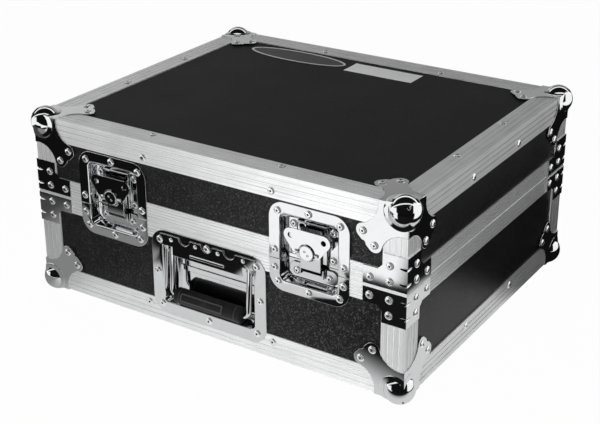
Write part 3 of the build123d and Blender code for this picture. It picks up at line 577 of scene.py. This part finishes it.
# Latches: a dish pressed in two halves, a raised bracket, and a hub that turns to draw
# a hook off the keeper on the base. The wing folds flat over the hub. All chromed steel.
# A serrated spring tab on the front of the bracket's upper edge steadies the hook. The valleys
# between its teeth are painted dark: painted shade.
tab_size = (0.0295, 0.0014, 0.0068)
tab_height = 0.1841
tab_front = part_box("latch_left_bracket")[0].y - tab_size[1]
serrations = 11
hub_height = 0.161
eye_shift = 0.0020
eye_radius = 0.0016
eye_bead = 0.0003
eye_sunk = 0.0002
serration_rise = 0.0005
serration_slant = 0.5
tooth_pale = (0.86, 0.865, 0.87)
tooth_rubbed = (0.70, 0.705, 0.71)
# Painted shade for the valleys between the tab's teeth.
valley_painted_shade = (0.03, 0.03, 0.031)

tab_steel = standard("spring_tab_steel", metallic=1.0)
where = tab_steel.place()
rubbed = tab_steel.clouds(where, 300.0, 4.0)
x, y, z = tab_steel.axes(where)
# Painted shade: everything behind the teeth's tops is coloured dark.
shaded_valley = tab_steel.band(y, tab_front - 0.7 * serration_rise, tab_front - 0.3 * serration_rise)
tooth = tab_steel.blend(rubbed, tooth_pale, tooth_rubbed)
tab_steel.surface("Base Color", tab_steel.blend(shaded_valley, tooth, valley_painted_shade))
tab_steel.surface("Roughness", 0.10 + 0.10 * rubbed)


def spring_tab(side):
    """A small plate with slanted teeth across its face, on the bracket's front."""
    low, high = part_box(f"latch_{side}_bracket")
    middle = (low.x + high.x) / 2
    pitch = tab_size[0] / serrations
    bpy.ops.object.select_all(action="DESELECT")
    bpy.ops.mesh.primitive_plane_add(size=1.0, location=(middle, tab_front, tab_height),
                                     rotation=(math.pi / 2, 0, 0))
    made = bpy.context.object
    made.scale = (tab_size[0], tab_size[2], 1.0)
    bpy.ops.object.transform_apply(location=True, rotation=True, scale=True)
    edit_all()
    bpy.ops.mesh.extrude_region_move(TRANSFORM_OT_translate={"value": (0, tab_size[1], 0)})
    for tooth in range(2 * serrations - 1):
        at = middle - tab_size[0] / 2 + (tooth + 1) * pitch / 2
        bpy.ops.mesh.select_all(action="SELECT")
        bpy.ops.mesh.bisect(plane_co=(at, 0, tab_height), plane_no=(1, 0, serration_slant))
    bpy.ops.object.mode_set(mode="OBJECT")
    front = min(corner.co.y for corner in made.data.vertices)
    for corner in made.data.vertices:
        along = corner.co.x - middle + serration_slant * (corner.co.z - tab_height) + tab_size[0] / 2
        if corner.co.y < front + tab_size[1] / 2 and round(along / pitch * 2) % 2:
            corner.co.y -= serration_rise
    solo(made)
    edit_all()
    bpy.ops.mesh.normals_make_consistent(inside=False)
    bpy.ops.object.mode_set(mode="OBJECT")
    settle(made, f"latch_{side}_tab", "lid", tab_steel)


def hub_eyes(side):
    """The rims of the two drive holes in the hub's face."""
    low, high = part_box(f"latch_{side}_hub")
    middle = (low.x + high.x) / 2
    depth = low.y + eye_bead + eye_sunk
    rims = []
    for shift in (-eye_shift, eye_shift):
        bpy.ops.object.select_all(action="DESELECT")
        bpy.ops.mesh.primitive_torus_add(location=(middle + shift, depth, hub_height - shift),
                                         rotation=(math.pi / 2, 0, 0), major_radius=eye_radius,
                                         minor_radius=eye_bead, major_segments=24, minor_segments=8)
        rims.append(bpy.context.object)
    gathered(rims, f"latch_{side}_hub_eyes", f"latch_{side}_turn", turned_chrome)


for side in ("left", "right"):
    for part in ("upper_dish", "lower_dish"):
        rolled(f"latch_{side}_{part}", pressed, pan=True)
    for part in ("bracket", "keeper"):
        rolled(f"latch_{side}_{part}", pressed)
    dress(pressed, f"latch_{side}_wing")
    for part in ("hook", "hub"):
        rolled(f"latch_{side}_{part}", turned_chrome)
    spring_tab(side)
    hub_eyes(side)


# Handle: a chromed bail in a pressed dish, held by a bracket riveted over its pivots
# and sprung back by a coil behind it. The grip is black rubber moulded on the bail,
# with a ring at each end and a raised bare frame along its face.
grip_low, grip_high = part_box("handle_grip")
grip_middle = (grip_low + grip_high) / 2
grip_radius = (grip_high.z - grip_low.z) / 2
frame_ends = (-0.038, 0.024)
frame_tall = 0.0105
frame_bar = 0.0016
frame_rise = 0.0006
frame_corner = 0.002
frame_bed = 0.0002
frame_tilt = math.radians(22)
grip_rings = (-0.041, 0.041)
ring_bead = 0.0004
ring_bed = 0.0001
rubber_black = (0.006, 0.006, 0.0065)
rubber_worn = (0.011, 0.011, 0.0115)
frame_black = (0.026, 0.026, 0.027)
frame_worn = (0.045, 0.045, 0.046)

rolled("handle_dish", pressed, pan=True)
rolled("handle_bracket", pressed)
dress(turned_chrome, "handle_bail")
rubber = standard("moulded_rubber", specular=0.25)
where = rubber.place()
grain = rubber.clouds(where, 1500.0, 3.0)
handled = rubber.clouds(where, 60.0, 4.0)
rubber.surface("Base Color", rubber.blend(rubber.band(handled, 0.4, 0.7), rubber_black, rubber_worn))
rubber.surface("Roughness", 0.34 + 0.22 * handled)
relief(rubber, grain, 0.00004, 0.7)
dress(rubber, "handle_grip")


def grip_frame():
    """A raised bare frame, modelled flat and then wrapped round the grip."""
    bpy.ops.object.select_all(action="DESELECT")
    bpy.ops.mesh.primitive_plane_add(size=1.0)
    made = bpy.context.object
    made.scale = (frame_ends[1] - frame_ends[0], frame_tall, 1.0)
    bpy.ops.object.transform_apply(location=False, rotation=False, scale=True)
    edit_all()
    bpy.ops.mesh.bevel(offset=frame_corner, segments=4, affect="VERTICES")
    bpy.ops.mesh.select_all(action="SELECT")
    bpy.ops.mesh.inset(thickness=frame_bar, depth=0)
    bpy.ops.mesh.delete(type="FACE")
    bpy.ops.mesh.select_all(action="SELECT")
    for part in range(1, 8):
        bpy.ops.mesh.bisect(plane_co=(0, frame_tall * (part / 8 - 0.5), 0), plane_no=(0, 1, 0))
        bpy.ops.mesh.select_all(action="SELECT")
    bpy.ops.mesh.extrude_region_move(TRANSFORM_OT_translate={"value": (0, 0, frame_rise)})
    bpy.ops.mesh.select_all(action="SELECT")
    bpy.ops.mesh.normals_make_consistent(inside=False)
    bpy.ops.object.mode_set(mode="OBJECT")
    for corner in made.data.vertices:
        out = grip_radius - frame_bed + corner.co.z
        turn = frame_tilt + corner.co.y / grip_radius
        along = corner.co.x + (frame_ends[0] + frame_ends[1]) / 2
        corner.co = (along, grip_middle.y - out * math.cos(turn), grip_middle.z + out * math.sin(turn))
    bpy.ops.object.shade_smooth_by_angle(angle=smooth_angle)
    return made


def grip_ring(at):
    """A small bead moulded round the grip."""
    bpy.ops.object.select_all(action="DESELECT")
    bpy.ops.mesh.primitive_torus_add(location=(at, grip_middle.y, grip_middle.z),
                                     rotation=(0, math.pi / 2, 0), major_radius=grip_radius - ring_bed,
                                     minor_radius=ring_bead, major_segments=40, minor_segments=8)
    made = bpy.context.object
    made.data.transform(made.matrix_world)
    made.matrix_world = Matrix.Identity(4)
    return made


polished = standard("polished_rubber")
where = polished.place()
handled = polished.clouds(where, 120.0, 4.0)
polished.surface("Base Color", polished.blend(handled, frame_black, frame_worn))
polished.surface("Roughness", 0.28 + 0.16 * handled)
mouldings = [grip_frame()] + [grip_ring(at) for at in grip_rings]
gathered(mouldings, "grip_frame", "handle", polished)


# Hinges: rolled steel leaves on a steel pin, plated like the other fittings and riveted
# to the back wall and the back of the lid.
hinge_roll = 0.0003

for half in ("base", "lid"):
    rolled(f"hinge_{half}_leaves", pressed, roll=hinge_roll, merge=False)
dress(turned_chrome, "hinge_pins")


# Rivets: domed steel blind rivets, set with a gun. The stub of the mandrel that the gun
# snaps off stays in each head as a small plug, coloured near black as painted shade of the hollow it sits
# in.
rivet_pale = (0.92, 0.925, 0.93)
rivet_soft = (0.78, 0.785, 0.79)
# The plug's near-black colour is painted shade of the rivet's hollow.
stub_dark_in_shade = (0.012, 0.012, 0.013)
stub_torn = (0.06, 0.06, 0.062)
stub_radius = 0.00125
stub_depth = 0.0010
stub_below = 0.0003
stub_tip = (0.0004, 0.0002)
stub_least_head = 0.007
faces_up_above = 0.12

rivet_steel = standard("rivet_steel", metallic=0.85)
where = rivet_steel.place()
turned_marks = rivet_steel.clouds(where, 700.0, 3.0)
cast = rivet_steel.clouds(where, 90.0, 3.0)
rivet_steel.surface("Base Color",
                    rivet_steel.blend(rivet_steel.band(cast, 0.4, 0.7), rivet_pale, rivet_soft))
rivet_steel.surface("Roughness", 0.10 + 0.08 * turned_marks)
relief(rivet_steel, turned_marks, 0.00002, 0.6)
dress(rivet_steel, "base_rivets", "lid_rivets")

stub_steel = standard("mandrel_steel", metallic=0.7, roughness=0.6)
where = stub_steel.place()
torn = stub_steel.clouds(where, 1800.0, 3.0)
# Painted shade: the plug is coloured near black for the shade inside the rivet's hollow.
stub_steel.surface("Base Color", stub_steel.blend(torn, stub_dark_in_shade, stub_torn))
relief(stub_steel, torn, 0.0001)


def rivet_heads(node):
    """The top of each larger rivet's head and the way it faces. A rivet is wider than it is deep."""
    work = bmesh.new()
    work.from_mesh(nodes[node].data)
    bmesh.ops.remove_doubles(work, verts=work.verts, dist=weld)
    met = set()
    heads = []
    for start in work.verts:
        if start in met:
            continue
        met.add(start)
        waiting = [start]
        group = []
        while waiting:
            corner = waiting.pop()
            group.append(corner.co.copy())
            for edge in corner.link_edges:
                other = edge.other_vert(corner)
                if other not in met:
                    met.add(other)
                    waiting.append(other)
        low = Vector([min(c[n] for c in group) for n in range(3)])
        high = Vector([max(c[n] for c in group) for n in range(3)])
        span = high - low
        if max(span) < stub_least_head:
            continue
        axis = min(range(3), key=lambda n: span[n])
        middle = (low + high) / 2
        facing = Vector((0, 0, 0))
        facing[axis] = 1.0 if middle[axis] > (faces_up_above if axis == 2 else 0.0) else -1.0
        top = middle + facing * span[axis] / 2
        heads.append((top, facing))
    work.free()
    return heads


def mandrel_stub():
    """A short plug with a torn tip, upright, its tip at the origin's level."""
    bpy.ops.object.select_all(action="DESELECT")
    bpy.ops.mesh.primitive_circle_add(vertices=10, radius=stub_radius, fill_type="NGON",
                                      location=(0, 0, -stub_depth))
    made = bpy.context.object
    bpy.ops.object.transform_apply(location=True, rotation=False, scale=False)
    edit_all()
    bpy.ops.mesh.extrude_region_move(TRANSFORM_OT_translate={"value": (0, 0, stub_depth - stub_below)})
    bpy.ops.mesh.inset(thickness=stub_tip[0], depth=stub_tip[1])
    bpy.ops.object.mode_set(mode="OBJECT")
    return made


stub = mandrel_stub()
for half in ("base", "lid"):
    plugs = []
    for top, facing in rivet_heads(f"{half}_rivets"):
        turned = facing.to_track_quat("Z", "Y").to_matrix().to_4x4()
        turned.translation = top
        plugs.append(copied(stub, turned))
    gathered(plugs, f"{half}_rivet_stubs", half, stub_steel)
bpy.data.objects.remove(stub)


# Foam lining: charcoal polyether foam, a pad on the floor, a pad under the lid and a wall
# round each half, glued to the plywood and cut out behind the latch and handle pans.
foam_charcoal = (0.020, 0.020, 0.022)
foam_pale = (0.055, 0.055, 0.058)
base_walls = (0.0240, 0.0270)
lid_walls = (0.0200, 0.0200)
foam_round = 0.0025
cut_foam_round = 0.0008
pan_clear = 0.0018
latch_pan = ((0.142, 0.1582), (0.038, 0.042), 0.011)
handle_pan = ((0.0, 0.079), (0.067, 0.040), 0.018)
pore_scale = 700.0
pore_depth = 0.0004

foam_finish = standard("open_cell_foam")
where = foam_finish.place()
pores = foam_finish.node("ShaderNodeTexVoronoi", {"feature": "F1"}, {"Vector": where, "Scale": pore_scale})
cloud = foam_finish.clouds(where, 45.0, 5.0)
spots = foam_finish.band(pores, 0.15, 0.65) * 0.7 + 0.3 * cloud
foam_finish.surface("Base Color", foam_finish.blend(spots, foam_charcoal, foam_pale))
foam_finish.surface("Roughness", 0.86 + 0.12 * cloud)
relief(foam_finish, pores, pore_depth, 0.8)


def pan_cutter(centre, half, depth):
    """A block that takes the room of one pan out of the foam."""
    front = -half_depth - pan_clear
    back = -half_depth + depth + pan_clear
    bpy.ops.object.select_all(action="DESELECT")
    bpy.ops.mesh.primitive_cube_add(size=1.0, location=(centre[0], (front + back) / 2, centre[1]))
    made = bpy.context.object
    made.scale = (2 * (half[0] + pan_clear), back - front, 2 * (half[1] + pan_clear))
    bpy.ops.object.transform_apply(location=True, rotation=False, scale=True)
    return made


def foam_piece(node, body, walls=None, pans=()):
    """A foam sheet that fills a node's box, or a wall round it with cut-outs, its edges softened."""
    low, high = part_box(node)
    bpy.ops.object.select_all(action="DESELECT")
    bpy.ops.mesh.primitive_plane_add(size=1.0, location=((low.x + high.x) / 2, (low.y + high.y) / 2, low.z))
    made = bpy.context.object
    made.scale = (high.x - low.x, high.y - low.y, 1.0)
    bpy.ops.object.transform_apply(location=True, rotation=False, scale=True)
    edit_all()
    if walls:
        bpy.ops.mesh.inset(thickness=walls[0], depth=0)
        deep = high.y - low.y
        bpy.ops.transform.resize(value=(1, (deep - 2 * walls[1]) / (deep - 2 * walls[0]), 1))
        bpy.ops.mesh.delete(type="FACE")
        bpy.ops.mesh.select_all(action="SELECT")
    bpy.ops.mesh.extrude_region_move(TRANSFORM_OT_translate={"value": (0, 0, high.z - low.z)})
    bpy.ops.mesh.select_all(action="SELECT")
    bpy.ops.mesh.normals_make_consistent(inside=False)
    bpy.ops.object.mode_set(mode="OBJECT")
    for pan in pans:
        cutter = pan_cutter(*pan)
        solo(made)
        cut = made.modifiers.new("pan", "BOOLEAN")
        cut.object = cutter
        cut.operation = "DIFFERENCE"
        bpy.ops.object.modifier_apply(modifier="pan")
        bpy.data.objects.remove(cutter)
    solo(made)
    soften = made.modifiers.new("soften", "BEVEL")
    soften.width = foam_round if not pans else cut_foam_round
    soften.segments = 3
    bpy.ops.object.modifier_apply(modifier="soften")
    bpy.ops.object.shade_smooth_by_angle(angle=smooth_angle)
    settle(made, f"{node}_lining", body, foam_finish)
    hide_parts(node)


latch_pans = [((right * latch_pan[0][0], latch_pan[0][1]), *latch_pan[1:]) for right in (-1, 1)]
foam_piece("base_floor_foam", "base")
foam_piece("base_surround_foam", "base", base_walls, latch_pans + [handle_pan])
foam_piece("lid_top_foam", "lid")
foam_piece("lid_surround_foam", "lid", lid_walls, latch_pans)


# Top of the lid: an oval nameplate of dark metal with a bright rim, left bare, and a blank
# pale label, both stuck to the laminate near the back.
plate_middle = (-0.1165, 0.160)
plate_half = (0.078, 0.022)
plate_thick = 0.0007
plate_rim = 0.0030
plate_step = (0.0003, -0.0004)
label_low = (-0.030, 0.142)
label_high = (0.074, 0.177)
label_thick = 0.00018
curl_start = (0.044, 0.010)
curl_rate = 4.0
rim_bright = (0.88, 0.88, 0.89)
rim_soft = (0.66, 0.66, 0.67)
plate_dark = (0.030, 0.030, 0.032)
plate_worn = (0.060, 0.060, 0.063)
paper_white = (0.96, 0.965, 0.97)
paper_stained = (0.86, 0.865, 0.87)
label_middle = ((label_low[0] + label_high[0]) / 2, (label_low[1] + label_high[1]) / 2)
panel_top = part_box("lid_top_panel")[1].z

bright_rim = standard("nameplate_rim", metallic=0.6)
where = bright_rim.place()
x, y, z = bright_rim.axes(where)
drawn = bright_rim.vector("MULTIPLY", where, (15.0, 900.0, 900.0))
brushed = bright_rim.clouds(drawn, 1.0, 3.0)
inside = bright_rim.band(panel_top + plate_thick - 0.0002 - z, -0.00005, 0.00005)
rim = bright_rim.blend(brushed, rim_bright, rim_soft)
plate = bright_rim.blend(brushed, plate_dark, plate_worn)
bright_rim.surface("Base Color", bright_rim.blend(inside, rim, plate))
bright_rim.surface("Roughness", 0.28 + 0.2 * brushed)
bpy.ops.object.select_all(action="DESELECT")
bpy.ops.mesh.primitive_circle_add(vertices=96, radius=1.0, fill_type="NGON",
                                  location=(*plate_middle, panel_top))
nameplate = bpy.context.object
nameplate.scale = (*plate_half, 1.0)
bpy.ops.object.transform_apply(location=True, rotation=False, scale=True)
edit_all()
bpy.ops.mesh.extrude_region_move(TRANSFORM_OT_translate={"value": (0, 0, plate_thick)})
bpy.ops.mesh.inset(thickness=plate_rim, depth=0)
bpy.ops.mesh.inset(thickness=plate_step[0], depth=plate_step[1])
bpy.ops.mesh.select_all(action="SELECT")
bpy.ops.mesh.normals_make_consistent(inside=False)
bpy.ops.object.mode_set(mode="OBJECT")
bpy.ops.object.shade_smooth_by_angle(angle=math.radians(30))
settle(nameplate, "lid_nameplate", "lid", bright_rim)

paper = standard("label_paper", specular=0.3)
where = paper.place()
fibres = paper.clouds(where, 900.0, 4.0)
stain = paper.clouds(where, 40.0, 4.0)
spots = paper.band(stain, 0.3, 0.8) * 0.5 + 0.3 * fibres
paper.surface("Base Color", paper.blend(spots, paper_white, paper_stained))
paper.surface("Roughness", 0.45 + 0.2 * fibres)
relief(paper, fibres, 0.00002, 0.6)
bpy.ops.object.select_all(action="DESELECT")
bpy.ops.mesh.primitive_grid_add(x_subdivisions=16, y_subdivisions=6, size=1.0,
                                location=(*label_middle, panel_top))
label = bpy.context.object
label.scale = (label_high[0] - label_low[0], label_high[1] - label_low[1], 1.0)
bpy.ops.object.transform_apply(location=True, rotation=False, scale=True)
edit_all()
bpy.ops.mesh.extrude_region_move(TRANSFORM_OT_translate={"value": (0, 0, label_thick)})
bpy.ops.mesh.select_all(action="SELECT")
bpy.ops.mesh.normals_make_consistent(inside=False)
bpy.ops.object.mode_set(mode="OBJECT")
for corner in label.data.vertices:
    past_x = max(0.0, abs(corner.co.x - label_middle[0]) - curl_start[0])
    past_y = max(0.0, abs(corner.co.y - label_middle[1]) - curl_start[1])
    corner.co.z += curl_rate * past_x * past_y
settle(label, "lid_label", "lid", paper)
